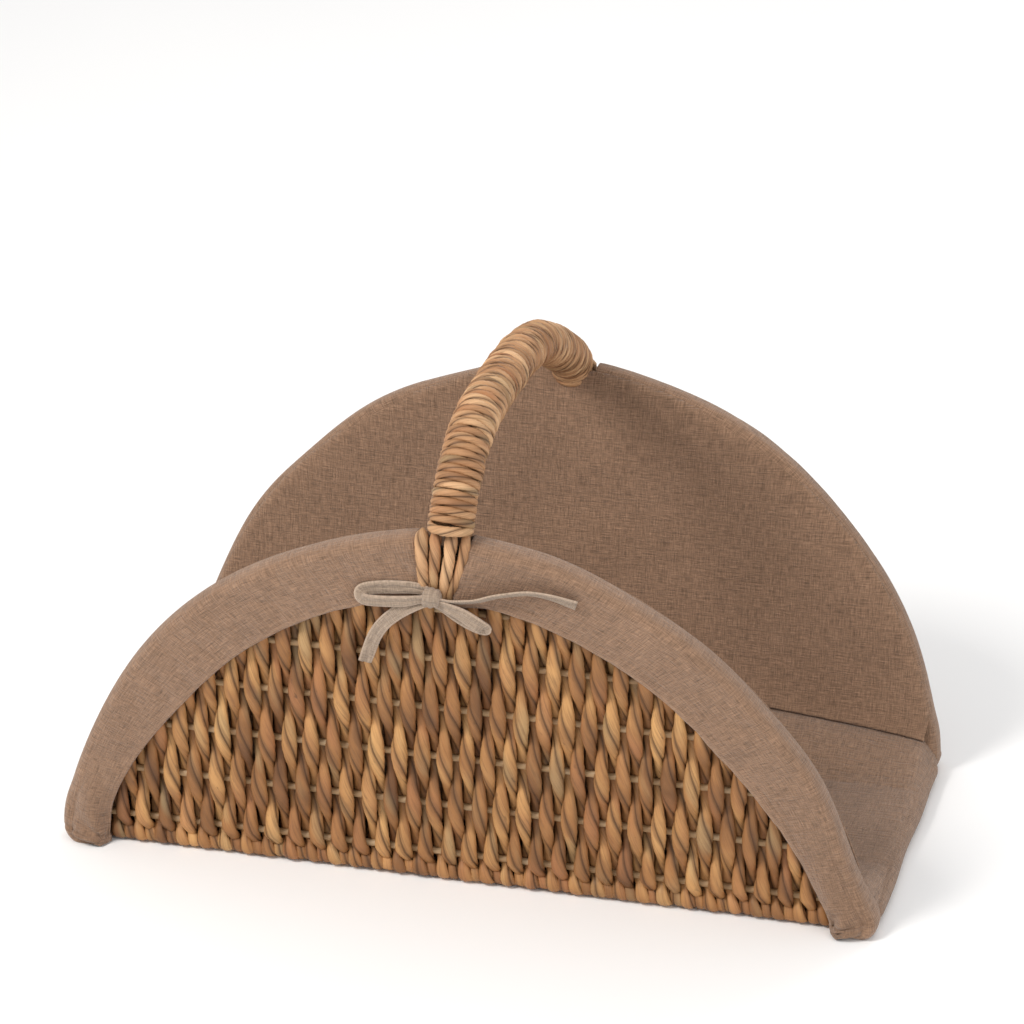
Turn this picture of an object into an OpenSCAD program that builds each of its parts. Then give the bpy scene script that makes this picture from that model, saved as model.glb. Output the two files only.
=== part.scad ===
// Wicker log basket: two leaning half-moon walls on a flat base, open at both ends,
// with a wrapped arch handle and a linen liner whose cuffs turn over the rims.
// Origin: centre of the footprint on the floor. +X along the length, -Y the front, +Z up.

/* [Basket] */
// Length over the liner at the foot of the walls
basket_l = 600; // [500:2:720]
// Depth from front to back over the liner at the floor
basket_d = 272; // [220:2:330]
// Slant height of each wall from the floor to the top of its rim
wall_h = 288; // [240:2:350]
// Outward lean of each wall from upright
wall_lean = 6.7; // [3:0.1:10]
// Radius of the rim's crown, above the shoulders
crown_r = 238; // [196:2:244]
// Angle from the top of the crown to each shoulder
shoulder_angle = 18.5; // [12:0.5:24]
// Radius of the base's corners in plan
corner_r = 18; // [16:1:30]

/* [Weave] */
// Thickness of the woven walls and base
weave_t = 15; // [11:0.5:20]
// Radius that the strands take where they turn up into a wall
turn_r = 12; // [8:0.5:16]
// Diameter of the cane rods that the strands pass over and under
rod_d = 5; // [3:0.5:7]
// Spacing of the cane rods
rod_pitch = 41; // [30:1:55]
// Slant height of the lowest rod in a wall
first_rod_h = 22; // [20:1:30]
// Clearance all round a rod or wire where the weave holds it
weave_fit = 0.2; // [0.1:0.05:0.4]

/* [Frame wire] */
// Diameter of the frame wire
wire_d = 6; // [4:0.5:8]
// Distance from the weave's edge in to the wire's centreline
wire_inset = 10; // [8:0.5:14]

/* [Handle] */
// Diameter of the handle over its wrapping
handle_d = 33; // [26:1:40]
// Thickness of the wrapping cord
wrap_t = 5; // [3:0.5:7]
// Height of the handle's centreline above the tops of the rims
handle_rise = 71; // [60:1:120]
// How far the front bend stands higher and the back bend lower, because the arch leans
handle_tip = 15; // [0:1:18]
// Radius of the bend above each foot, on the centreline
bend_r = 38; // [30:1:45]
// How far below the top of the rim the bend starts
foot_sink = 5; // [3:0.5:8]
// Diameter of the twisted strands that run from a foot into the weave
strand_d = 8; // [6:0.5:10]
// Strands at each foot
strand_count = 4; // [3:1:5]
// How far the strands reach below the top of the rim
strand_reach = 43; // [32:1:50]

/* [Liner] */
// Thickness of the linen
cloth_t = 1.6; // [0.8:0.1:2.4]
// Clearance between the linen and the weave
cloth_fit = 0.4; // [0.2:0.1:1]
// Width of the cuffs outside the rims
cuff_w = 47; // [42:1:80]
// How far the slits stand to the right of the handle, each seen from its own side
slit_x = -6.5; // [-8:0.5:8]
// Width of the slit in a cuff at the top of the rim
slit_top_w = 39; // [36:1:50]
// Width of the slit at the cuff's lower edge
slit_foot_w = 8; // [4:1:12]
// Width turned under each end of the base
turn_under_w = 34; // [20:1:50]

/* [Tie] */
// Width of the tie's tape
tape_w = 12; // [10:0.5:16]
// Thickness of the tape
tape_t = 1.2; // [0.8:0.1:2]
// Diameter of the knot
knot_d = 14; // [10:1:18]
// How far the knot stands to the right of the handle
knot_x = -13; // [-16:0.5:16]
// Distance from the top of the rim down to the knot's centre
knot_drop = 52; // [48:1:70]
// Length of each loop of the bow
loop_l = 52; // [35:1:70]
// Height of a loop, from the cuff outwards
loop_h = 8; // [5:0.5:12]
// Length of each tail of the bow
tail_l = 70; // [40:1:110]
// Angle of the tails below level
tail_angle = 48; // [30:1:70]

/* [Hidden] */

$fn = 96;
// Steps round the wide arcs of the outline
outline_steps = 256;
// Sides of the swept wires and of the handle, and their steps along each arc
wire_sides = 12;
handle_sides = 20;
flank_steps = 20;
crown_steps = 6;
bend_steps = 12;
arch_steps = 8;
// Longer than any piece, for the half spaces that trim them
reach = 2 * (basket_l + basket_d + wall_h);
// Colours
linen = [0.55, 0.46, 0.38];
strand_brown = [0.58, 0.42, 0.27];
cane = [0.78, 0.64, 0.45];
wire_grey = [0.45, 0.45, 0.46];
tape = [0.62, 0.53, 0.43];

// Stack of a wall, from the middle of the weave outwards
skin_t = cloth_t + cloth_fit;
weave_half = weave_t / 2;
wall_half = weave_half + skin_t;
// Top of the base's weave, and of the linen on it
linen_z = weave_t + cloth_fit;
floor_z = linen_z + cloth_t;
// Distance from the middle plane to the middle of a wall, at floor level
foot_y = basket_d / 2 - wall_half / cos(wall_lean);
// Height of the wires in the base, and where the walls' middle planes pass it
sill_z = weave_t / 2;
sill_y = foot_y + sill_z * tan(wall_lean);

// The rim is three arcs: a crown, and two flanks that meet it at the shoulders and
// pass through the basket's full length at floor level.
crown_s = wall_h - crown_r;
half_l = basket_l / 2;
flank_extra = (half_l * half_l + crown_s * crown_s - crown_r * crown_r)
  / (2 * (crown_r - half_l * sin(shoulder_angle) + crown_s * cos(shoulder_angle)));
flank_r = crown_r + flank_extra;
flank_x = -flank_extra * sin(shoulder_angle);
flank_s = crown_s - flank_extra * cos(shoulder_angle);

// Wire outline: inset from the rim, and where its flanks pass the sills
wire_r = wire_d / 2;
hoop_inset = skin_t + wire_inset;
sill_s = sill_z / cos(wall_lean);
rail_x = flank_x + sqrt(pow(flank_r - hoop_inset, 2) - pow(sill_s - flank_s, 2));
end_rail_x = rail_x - wire_r;

// Handle centreline in the plane x = 0: a bend above each foot and one wide arc between.
// Each bend starts along its wall, so its centre lies level with the foot, inwards.
rim_z = wall_h * cos(wall_lean);
foot_s = wall_h - foot_sink;
bend_y = foot_y + foot_s * sin(wall_lean) - bend_r * cos(wall_lean);
bend_z = foot_s * cos(wall_lean) + bend_r * sin(wall_lean);
apex_z = rim_z + handle_rise;
bend_drop = apex_z - bend_z;
arch_r = (bend_y * bend_y + bend_drop * bend_drop - bend_r * bend_r) / (2 * (bend_drop - bend_r));
arch_z = apex_z - arch_r;
arch_half_angle = atan2(bend_y, bend_z - arch_z);
handle_r = handle_d / 2;

// Strands at a foot stand in front of the hoop, in a pocket of the weave
strand_n = wire_r + weave_fit + strand_d / 2;
strand_pitch = strand_d + weave_fit;
strand_foot_s = wall_h - strand_reach;
// Centre of the knot, resting on the cuff
knot_s = wall_h - knot_drop;
knot_n = wall_half + knot_d / 2;
// Number of rods that fit under the crown of a wall, and to each side on the base
wall_rods = floor((wall_h - hoop_inset - wire_d - first_rod_h) / rod_pitch);
base_side_rods = floor((sill_y - wire_d - rod_d) / rod_pitch);

// Puts a shape drawn in wall axes on the front wall: x along the basket, y up the slant,
// z outwards from the middle of the weave.
module on_front() {
  translate([0, -foot_y, 0]) rotate([90 + wall_lean, 0, 0]) children();
}

// The same on the back wall: the front and the back of the basket are alike.
module at_back() {
  rotate([0, 0, 180]) children();
}

// Keeps only what lies above height z.
module above(z) {
  intersection() {
    children();
    translate([-reach / 2, -reach / 2, z]) cube(reach);
  }
}

// Half-moon outline of a wall, moved in by inset: what the flanks share, rounded off
// above the shoulders by the crown.
module half_moon(inset) {
  shoulder_s = crown_s + (crown_r - inset) * cos(shoulder_angle);
  difference() {
    intersection() {
      translate([flank_x, flank_s]) circle(flank_r - inset, $fn = outline_steps);
      translate([-flank_x, flank_s]) circle(flank_r - inset, $fn = outline_steps);
    }
    difference() {
      translate([-reach / 2, shoulder_s]) square(reach);
      translate([0, crown_s]) circle(crown_r - inset, $fn = outline_steps);
    }
  }
}

// Flat plate of the half-moon outline between two depths of the wall.
module plate(inset, n_low, n_high) {
  translate([0, 0, n_low]) linear_extrude(n_high - n_low) half_moon(inset);
}

// Closed round tube of radius r along a flat centreline. Each station is [x, y, angle]:
// a place in the plane, and the direction of the line's outward normal there.
module swept_tube(stations, r, sides) {
  last = len(stations) - 1;
  polyhedron(
    points = [
      for (station = stations, j = [0 : sides - 1])
        let (a = 360 * j / sides)
        [station[0] + r * cos(a) * cos(station[2]), station[1] + r * cos(a) * sin(station[2]), r * sin(a)]
    ],
    faces = [
      [for (j = [sides - 1 : -1 : 0]) j],
      [for (j = [0 : sides - 1]) last * sides + j],
      for (i = [0 : last - 1], j = [0 : sides - 1])
        let (next = (j + 1) % sides)
        [i * sides + j, i * sides + next, (i + 1) * sides + next, (i + 1) * sides + j]
    ]
  );
}

// Stations along an arc about a centre, from one angle to another.
function arc_stations(centre, r, from, to, steps) = [
  for (i = [0 : steps])
    let (a = from + (to - from) * i / steps)
    [centre[0] + r * cos(a), centre[1] + r * sin(a), a]
];

// Stations turned over to the other side of x = 0, in the opposite order.
function mirrored(stations) = [
  for (i = [len(stations) - 1 : -1 : 0]) [-stations[i][0], stations[i][1], 180 - stations[i][2]]
];

// Stations of an arch raised by handle_tip on one side and lowered on the other. The middle
// and the feet, at the distance reach, stay where they are.
function tipped(stations, reach) = [
  for (station = stations)
    let (
      turn = 180 * station[0] * abs(station[0]) / (reach * reach),
      slope = -2 * PI * handle_tip * cos(turn) * abs(station[0]) / (reach * reach),
      a = station[2]
    )
    [station[0], station[1] - handle_tip * sin(turn), atan2(sin(a), cos(a) - slope * sin(a))]
];

// Channel along the half-moon outline, for the hoop to lie in.
module hoop_channel() {
  r = wire_r + weave_fit;
  difference() {
    plate(hoop_inset - r, -r, r);
    plate(hoop_inset + r, -weave_t, weave_t);
  }
}

// Rods across a wall, trimmed where they meet the hoop.
module wall_rod_set(r, inset) {
  intersection() {
    for (i = [0 : wall_rods])
      translate([-half_l, first_rod_h + i * rod_pitch, 0]) rotate([0, 90, 0]) cylinder(r = r, h = basket_l);
    plate(inset, -weave_t, weave_t);
  }
}

// Rods along the base, beside each other from front to back.
module base_rod_set(r, half_length) {
  for (i = [-base_side_rods : base_side_rods])
    translate([-half_length, i * rod_pitch, sill_z]) rotate([0, 90, 0]) cylinder(r = r, h = 2 * half_length);
}

// Straight wire along the foot of the front wall.
module sill() {
  translate([-rail_x, -sill_y, sill_z]) rotate([0, 90, 0]) cylinder(r = wire_r, h = 2 * rail_x);
}

// Straight wire across the base's right end, from sill to sill.
module end_rail() {
  difference() {
    translate([end_rail_x, -sill_y, sill_z]) rotate([-90, 0, 0]) cylinder(r = wire_r, h = 2 * sill_y);
    sill();
    at_back() sill();
  }
}

// Hoop of one wall, standing on its sill.
module hoop() {
  flank = arc_stations([flank_x, flank_s], flank_r - hoop_inset,
    asin(-flank_s / (flank_r - hoop_inset)), 90 - shoulder_angle, flank_steps);
  crown = arc_stations([0, crown_s], crown_r - hoop_inset, 90 - shoulder_angle, 90, crown_steps);
  half = concat(flank, [for (i = [1 : crown_steps - 1]) crown[i]]);
  difference() {
    above(sill_z) on_front()
      swept_tube(concat(half, [crown[crown_steps]], mirrored(half)), wire_r, wire_sides);
    sill();
  }
}

// Woven half-moon of the front wall, with channels for what it holds.
module wall_weave() {
  difference() {
    above(weave_t) on_front() plate(skin_t, -weave_half, weave_half);
    on_front() hoop_channel();
    on_front() wall_rod_set(rod_d / 2 + weave_fit, hoop_inset);
    on_front() translate([0, wall_h - hoop_inset, 0]) rotate([-90, 0, 0])
      cylinder(r = wire_r + cloth_fit, h = wall_h);
    on_front() translate([slit_x - strand_count * strand_pitch / 2, strand_foot_s - weave_fit, wire_r])
      cube([strand_count * strand_pitch, wall_h, weave_t]);
  }
}

// Rounded rectangle of the base in plan, moved in by inset.
module base_plan(inset) {
  r = corner_r - inset;
  straight_x = half_l - corner_r;
  straight_y = basket_d / 2 - corner_r;
  square([2 * (straight_x + r), 2 * straight_y], center = true);
  square([2 * straight_x, 2 * (straight_y + r)], center = true);
  for (x = [-1, 1], y = [-1, 1]) translate([x * straight_x, y * straight_y]) circle(r);
}

// Section of the base's weave across its depth, rounded where the strands turn up.
module base_section() {
  straight_y = basket_d / 2 - skin_t - turn_r;
  translate([-straight_y, 0]) square([2 * straight_y, weave_t]);
  translate([-straight_y - turn_r, turn_r]) square([2 * (straight_y + turn_r), weave_t - turn_r]);
  for (side = [-1, 1]) translate([side * straight_y, turn_r]) circle(turn_r);
}

// Plan of the grooves that the sills and end rails lie in.
module wire_groove_plan() {
  groove_w = wire_d + 2 * weave_fit;
  difference() {
    square([2 * end_rail_x + groove_w, 2 * sill_y + groove_w], center = true);
    square([2 * end_rail_x - groove_w, 2 * sill_y - groove_w], center = true);
  }
}

// Solid tube of radius r along the handle's centreline, standing on the hoops' crowns.
module handle_tube(r, sides) {
  hoop_top_s = wall_h - hoop_inset + wire_r;
  foot = [[foot_y + hoop_top_s * sin(wall_lean), hoop_top_s * cos(wall_lean), -wall_lean]];
  bend = arc_stations([bend_y, bend_z], bend_r, -wall_lean, 90 - arch_half_angle, bend_steps);
  arch = arc_stations([0, arch_z], arch_r, 90 - arch_half_angle, 90, arch_steps);
  half = concat(foot, bend, [for (i = [1 : arch_steps - 1]) arch[i]]);
  stations = concat(half, [arch[arch_steps]], mirrored(half));
  rotate([90, 0, 90]) swept_tube(tipped(stations, foot[0][0]), r, sides);
}

// Keeps only the part of the handle that stands above both rims.
module above_rims() {
  difference() {
    children();
    for (turn = [0, 180]) rotate([0, 0, turn]) on_front()
      translate([-handle_d, 0, -handle_d]) cube([2 * handle_d, wall_h, 2 * handle_d]);
  }
}

// Strand ends of one foot, side by side.
module foot_strands() {
  on_front() for (i = [0 : strand_count - 1])
    translate([slit_x + (i - (strand_count - 1) / 2) * strand_pitch, strand_foot_s, strand_n])
      rotate([-90, 0, 0]) cylinder(d = strand_d, h = strand_reach);
}

// Slit that parts the two cuffs of a wall at the handle's foot.
module slit() {
  translate([slit_x, 0, -reach / 2]) linear_extrude(reach) polygon([
    [-slit_top_w / 2, wall_h], [-slit_foot_w / 2, wall_h - cuff_w], [-slit_foot_w / 2, 0],
    [slit_foot_w / 2, 0], [slit_foot_w / 2, wall_h - cuff_w], [slit_top_w / 2, wall_h],
    [slit_top_w / 2, reach], [-slit_top_w / 2, reach]
  ]);
}

// Cuff of the front wall on one side of the slit, -1 left or 1 right: a band outside the rim
// and its turn over the edge.
module cuff(side) {
  above(floor_z) on_front() intersection() {
    difference() {
      union() {
        difference() {
          plate(0, weave_half + cloth_fit, wall_half);
          plate(cuff_w, 0, weave_t + wall_half);
        }
        difference() {
          plate(0, -wall_half, wall_half);
          plate(cloth_t, -reach / 2, reach / 2);
        }
      }
      slit();
    }
    translate([slit_x + (side - 1) * reach / 2, -reach / 2, -reach / 2]) cube(reach);
  }
}

// Linen inside the front wall, standing on the linen of the base.
module wall_lining() {
  above(floor_z) on_front() plate(cloth_t, -wall_half, -weave_half - cloth_fit);
}

// Linen turned over the right-hand end of the base and under it.
module end_cuff() {
  intersection() {
    union() {
      translate([0, 0, cloth_fit]) linear_extrude(floor_z - cloth_fit) difference() {
        base_plan(0);
        base_plan(cloth_t);
      }
      translate([0, 0, cloth_fit]) linear_extrude(cloth_t) intersection() {
        base_plan(0);
        translate([half_l - turn_under_w, -reach / 2]) square(reach);
      }
    }
    translate([half_l - cuff_w, -reach / 2, 0]) cube(reach);
  }
}

// One loop of the bow: a flattened ring of tape to the right of the knot.
module bow_loop() {
  r = loop_h / 2;
  translate([0, -tape_w / 2, wall_half + tape_t + r]) rotate([-90, 0, 0]) linear_extrude(tape_w)
    difference() {
      loop_outline(r);
      loop_outline(r - tape_t);
    }
}

// Long outline with round ends, for a loop.
module loop_outline(r) {
  translate([0, -r]) square([loop_l - loop_h / 2, 2 * r]);
  translate([loop_l - loop_h / 2, 0]) circle(r);
}

// One tail of the bow, hanging from the knot to the right.
module bow_tail() {
  translate([0, 0, wall_half]) rotate([0, 0, -tail_angle]) translate([0, -tape_w / 2, 0])
    cube([tail_l, tape_w, tape_t]);
}

// Knot of the bow.
module knot() {
  translate([0, 0, knot_n]) sphere(d = knot_d);
}

// Puts a piece of the bow at its place on the front wall.
module on_knot() {
  on_front() translate([knot_x, knot_s, 0]) children();
}

// A left and right copy of a piece of the bow, each ending at the knot.
module both_sides_of_knot() {
  difference() {
    for (side = [0, 1]) mirror([side, 0, 0]) intersection() {
      children();
      translate([tape_t, -reach / 2, -reach / 2]) cube(reach);
    }
    knot();
  }
}

module front_hoop() { color(wire_grey) hoop(); }
module back_hoop() { color(wire_grey) at_back() hoop(); }
module front_sill() { color(wire_grey) sill(); }
module back_sill() { color(wire_grey) at_back() sill(); }
module left_end_rail() { color(wire_grey) at_back() end_rail(); }
module right_end_rail() { color(wire_grey) end_rail(); }

module front_wall_rods() { color(cane) on_front() wall_rod_set(rod_d / 2, hoop_inset + wire_r); }
module base_rods() { color(cane) base_rod_set(rod_d / 2, rail_x - wire_d); }
module back_wall_rods() { color(cane) at_back() on_front() wall_rod_set(rod_d / 2, hoop_inset + wire_r); }

module front_wall_weave() { color(strand_brown) wall_weave(); }
module back_wall_weave() { color(strand_brown) at_back() wall_weave(); }
module base_weave() {
  color(strand_brown) difference() {
    intersection() {
      linear_extrude(weave_t) base_plan(skin_t);
      translate([-half_l, 0, 0]) rotate([90, 0, 90]) linear_extrude(basket_l) base_section();
    }
    base_rod_set(rod_d / 2 + weave_fit, rail_x - wire_d);
    translate([0, 0, sill_z - wire_r - weave_fit]) linear_extrude(weave_t) wire_groove_plan();
    for (turn = [0, 180]) rotate([0, 0, turn])
      translate([half_l - turn_under_w - cloth_fit, -reach / 2, -reach + skin_t + cloth_fit]) cube(reach);
  }
}

module handle_core() { color(wire_grey) handle_tube(wire_r, wire_sides); }
module handle_padding() {
  color(cane) above_rims() difference() {
    handle_tube(handle_r - wrap_t, handle_sides);
    handle_tube(wire_r, wire_sides);
  }
}
module handle_wrap() {
  color(cane) above_rims() difference() {
    handle_tube(handle_r, handle_sides);
    handle_tube(handle_r - wrap_t, handle_sides);
  }
}
module front_foot_strands() { color(strand_brown) foot_strands(); }
module back_foot_strands() { color(strand_brown) at_back() foot_strands(); }

module liner_front_panel() { color(linen) wall_lining(); }
module liner_back_panel() { color(linen) at_back() wall_lining(); }
module liner_base_panel() {
  color(linen) translate([0, 0, linen_z]) linear_extrude(cloth_t) intersection() {
    base_plan(cloth_t);
    square([basket_l, 2 * (foot_y + linen_z * tan(wall_lean) - weave_half / cos(wall_lean) - cloth_fit)],
      center = true);
  }
}
module front_cuff_left() { color(linen) cuff(-1); }
module front_cuff_right() { color(linen) cuff(1); }
module back_cuff_left() { color(linen) at_back() cuff(1); }
module back_cuff_right() { color(linen) at_back() cuff(-1); }
module left_end_cuff() { color(linen) at_back() end_cuff(); }
module right_end_cuff() { color(linen) end_cuff(); }

module front_tie_knot() { color(tape) on_knot() knot(); }
module front_tie_loops() { color(tape) on_knot() both_sides_of_knot() bow_loop(); }
module front_tie_tails() { color(tape) on_knot() both_sides_of_knot() bow_tail(); }
module back_tie_knot() { color(tape) at_back() on_knot() knot(); }
module back_tie_loops() { color(tape) at_back() on_knot() both_sides_of_knot() bow_loop(); }
module back_tie_tails() { color(tape) at_back() on_knot() both_sides_of_knot() bow_tail(); }

front_hoop();
back_hoop();
front_sill();
back_sill();
left_end_rail();
right_end_rail();
front_wall_rods();
base_rods();
back_wall_rods();
front_wall_weave();
base_weave();
back_wall_weave();
handle_core();
handle_padding();
handle_wrap();
front_foot_strands();
back_foot_strands();
liner_front_panel();
liner_base_panel();
liner_back_panel();
front_cuff_left();
front_cuff_right();
back_cuff_left();
back_cuff_right();
left_end_cuff();
right_end_cuff();
front_tie_knot();
front_tie_loops();
front_tie_tails();
back_tie_knot();
back_tie_loops();
back_tie_tails();
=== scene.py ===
"""Wicker log basket: twisted strands over a wire frame, a wrapped handle and a tied linen liner.

Lengths are metres. x runs along the basket, -y is the front and z is up. Each wall has its own
axes: x, the slant height s up the wall, and n outwards from the middle of its weave.
"""
import math

import bpy
import numpy as np
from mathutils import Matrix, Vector


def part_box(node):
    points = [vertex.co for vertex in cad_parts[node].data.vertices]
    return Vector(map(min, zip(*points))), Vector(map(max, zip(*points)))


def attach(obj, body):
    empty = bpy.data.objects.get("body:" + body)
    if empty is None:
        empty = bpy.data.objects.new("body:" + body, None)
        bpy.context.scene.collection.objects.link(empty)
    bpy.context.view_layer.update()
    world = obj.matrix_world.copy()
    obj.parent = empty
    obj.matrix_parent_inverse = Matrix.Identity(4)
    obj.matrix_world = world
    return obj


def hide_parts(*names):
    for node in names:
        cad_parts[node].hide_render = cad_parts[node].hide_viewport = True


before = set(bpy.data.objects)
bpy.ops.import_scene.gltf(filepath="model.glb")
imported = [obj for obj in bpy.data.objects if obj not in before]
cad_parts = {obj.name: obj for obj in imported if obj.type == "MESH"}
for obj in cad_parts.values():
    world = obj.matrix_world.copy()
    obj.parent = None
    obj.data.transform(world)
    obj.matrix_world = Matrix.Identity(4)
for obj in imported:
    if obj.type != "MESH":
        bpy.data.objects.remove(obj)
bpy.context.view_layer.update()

# --------------------
# Studio: a long lens from the front right, a broad soft key light from the upper left and
# a white floor that runs on into a white world.
# --------------------
CAMERA_TURN = math.radians(14.6)
CAMERA_RISE = math.radians(25.25)
CAMERA_DISTANCE = 3.4365
CAMERA_TARGET = Vector((0.0, 0.0, 0.150))
CAMERA_LIFT = 0.0778  # the view's centre passes this far above the target

camera = bpy.data.objects.new("camera", bpy.data.cameras.new("camera"))
bpy.context.scene.collection.objects.link(camera)
bpy.context.scene.camera = camera
camera_back = Vector((
    math.sin(CAMERA_TURN) * math.cos(CAMERA_RISE),
    -math.cos(CAMERA_TURN) * math.cos(CAMERA_RISE),
    math.sin(CAMERA_RISE),
))
camera_up = Vector((
    -math.sin(CAMERA_TURN) * math.sin(CAMERA_RISE),
    math.cos(CAMERA_TURN) * math.sin(CAMERA_RISE),
    math.cos(CAMERA_RISE),
))
camera.location = CAMERA_TARGET + camera_back * CAMERA_DISTANCE
camera_view = CAMERA_TARGET + camera_up * CAMERA_LIFT - camera.location
camera.rotation_mode = "QUATERNION"
camera.rotation_quaternion = camera_view.to_track_quat("-Z", "Y")
camera.data.lens = 165.15
camera.data.sensor_width = 36.0
camera.data.clip_start = 0.1
camera.data.clip_end = 50.0


def soft_light(name, place, size, power, colour):
    """Square area lamp of that size, aimed at the middle of the basket."""
    lamp = bpy.data.objects.new(name, bpy.data.lights.new(name, "AREA"))
    lamp.data.size = size
    lamp.data.energy = power
    lamp.data.color = colour
    lamp.location = place
    lamp.rotation_mode = "QUATERNION"
    lamp.rotation_quaternion = (CAMERA_TARGET - Vector(place)).to_track_quat("-Z", "Y")
    bpy.context.scene.collection.objects.link(lamp)


soft_light("key_light", (-1.5, -1.7, 2.3), 0.9, 62.0, (1.0, 0.97, 0.93))
soft_light("fill_light", (2.2, -1.6, 1.4), 1.6, 21.0, (0.97, 0.98, 1.0))
soft_light("back_light", (0.4, 2.2, 2.2), 1.4, 20.0, (1.0, 0.98, 0.96))

world = bpy.data.worlds.new("studio")
world.use_nodes = True
world.node_tree.nodes["Background"].inputs["Color"].default_value = (1.0, 1.0, 1.0, 1.0)
world.node_tree.nodes["Background"].inputs["Strength"].default_value = 0.64
bpy.context.scene.world = world
bpy.context.scene.view_settings.view_transform = "Standard"


class Value:
    """An output socket of a finish. An expression on values adds the Math nodes it needs."""

    def __init__(self, finish, socket):
        self.finish = finish
        self.socket = socket

    def math(self, operation, first, second=0.0):
        return self.finish.node("ShaderNodeMath", {"operation": operation}, {0: first, 1: second})["Value"]

    def __add__(self, other):
        return self.math("ADD", self, other)

    def __sub__(self, other):
        return self.math("SUBTRACT", self, other)

    def __mul__(self, other):
        return self.math("MULTIPLY", self, other)

    __radd__ = __add__
    __rmul__ = __mul__


class Finish:
    """A material made of nodes, ending in one Principled shader."""

    def __init__(self, name):
        self.material = bpy.data.materials.new(name)
        self.material.use_nodes = True
        self.tree = self.material.node_tree
        self.shader = self.tree.nodes["Principled BSDF"]

    def put(self, socket, value):
        """Sets a socket to a number or colour, or links a value to it."""
        if isinstance(value, Value):
            self.tree.links.new(value.socket, socket)
        else:
            socket.default_value = value

    def node(self, kind, settings, inputs):
        """Any node: its settings go first, a ramp's stops among them, then its sockets by name or place."""
        made = self.tree.nodes.new(kind)
        for name, setting in settings.items():
            if name == "stops":
                ramp = made.color_ramp.elements
                while len(ramp) < len(setting):
                    ramp.new(0.5)
                for stop, (place, colour) in zip(ramp, setting):
                    stop.position = place
                    stop.color = (*colour, 1.0)
            else:
                setattr(made, name, setting)
        by_name = {socket.identifier: socket for socket in made.inputs}
        for name, value in inputs.items():
            self.put(made.inputs[name] if isinstance(name, int) else by_name[name], value)
        return {socket.identifier: Value(self, socket) for socket in made.outputs}

    def surface(self, **inputs):
        """Sets the shader's own sockets. An underscore in a name stands for a space."""
        for name, value in inputs.items():
            self.put(self.shader.inputs[name.replace("_", " ")], value)

    def noise(self, vector, scale, detail=2.0, roughness=0.5):
        return self.node(
            "ShaderNodeTexNoise", {},
            {"Vector": vector, "Scale": scale, "Detail": detail, "Roughness": roughness},
        )["Fac"]

    def stretched(self, vector, scales):
        return self.node("ShaderNodeMapping", {}, {"Vector": vector, "Scale": scales})["Vector"]

    def ramp(self, fac, stops):
        return self.node("ShaderNodeValToRGB", {"stops": stops}, {"Fac": fac})["Color"]

    def mixed(self, factor, first, second, blend="MIX"):
        return self.node(
            "ShaderNodeMix", {"data_type": "RGBA", "blend_type": blend},
            {"Factor_Float": factor, "A_Color": first, "B_Color": second},
        )["Result_Color"]

    def bump(self, height, distance, strength=1.0):
        return self.node(
            "ShaderNodeBump", {}, {"Height": height, "Distance": distance, "Strength": strength},
        )["Normal"]


FLOOR_REACH = 12.0
floor_finish = Finish("pale_floor")
floor_place = floor_finish.node("ShaderNodeTexCoord", {}, {})["Object"]
floor_mottle = floor_finish.noise(floor_place, 1.5)
floor_finish.surface(
    Base_Color=floor_finish.ramp(floor_mottle, [(0.3, (0.93, 0.93, 0.93)), (0.7, (0.95, 0.95, 0.95))]),
    Roughness=0.9,
)
floor_mesh = bpy.data.meshes.new("floor")
floor_mesh.from_pydata(
    [(x * FLOOR_REACH, y * FLOOR_REACH, 0.0) for x, y in ((-1, -1), (1, -1), (1, 1), (-1, 1))],
    [], [(0, 1, 2, 3)],
)
floor_mesh.materials.append(floor_finish.material)
floor = bpy.data.objects.new("floor", floor_mesh)
bpy.context.scene.collection.objects.link(floor)

# --------------------
# Frame wires: the hoops, sills, end rails and the handle's core. Lacquered iron wire,
# welded at the corners and buried in the weave.
# --------------------
wire_finish = Finish("lacquered_wire")
wire_place = wire_finish.node("ShaderNodeTexCoord", {}, {})["Object"]
wire_rust = wire_finish.noise(wire_place, 160.0, detail=4.0)
wire_finish.surface(
    Base_Color=wire_finish.ramp(wire_rust, [(0.4, (0.035, 0.028, 0.022)), (0.7, (0.09, 0.05, 0.03))]),
    Roughness=0.45 + 0.3 * wire_rust,
    Metallic=0.6,
    Normal=wire_finish.bump(wire_rust, 0.0002),
)
for wire in (
    "front_hoop", "back_hoop", "front_sill", "back_sill", "left_end_rail", "right_end_rail", "handle_core",
):
    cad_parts[wire].data.materials.clear()
    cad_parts[wire].data.materials.append(wire_finish.material)

# --------------------
# Cane rods: peeled rattan, split pale, run the length of the basket. The strands pass
# over and under them, so only short stretches show.
# --------------------
cane_finish = Finish("peeled_cane")
cane_place = cane_finish.node("ShaderNodeTexCoord", {}, {})["Object"]
cane_fibre = cane_finish.noise(cane_finish.stretched(cane_place, (60.0, 900.0, 900.0)), 1.0, detail=3.0)
cane_stain = cane_finish.noise(cane_place, 55.0, detail=3.0)
cane_colour = cane_finish.ramp(
    cane_stain,
    [(0.3, (0.26, 0.145, 0.06)), (0.5, (0.46, 0.29, 0.14)), (0.7, (0.60, 0.43, 0.25))],
)
cane_finish.surface(
    Base_Color=cane_finish.mixed(cane_fibre * 0.6, cane_colour, (0.22, 0.12, 0.05, 1.0)),
    Roughness=0.5,
    Normal=cane_finish.bump(cane_fibre, 0.0004),
)
for rods in ("front_wall_rods", "base_rods", "back_wall_rods"):
    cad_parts[rods].data.materials.clear()
    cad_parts[rods].data.materials.append(cane_finish.material)

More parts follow.
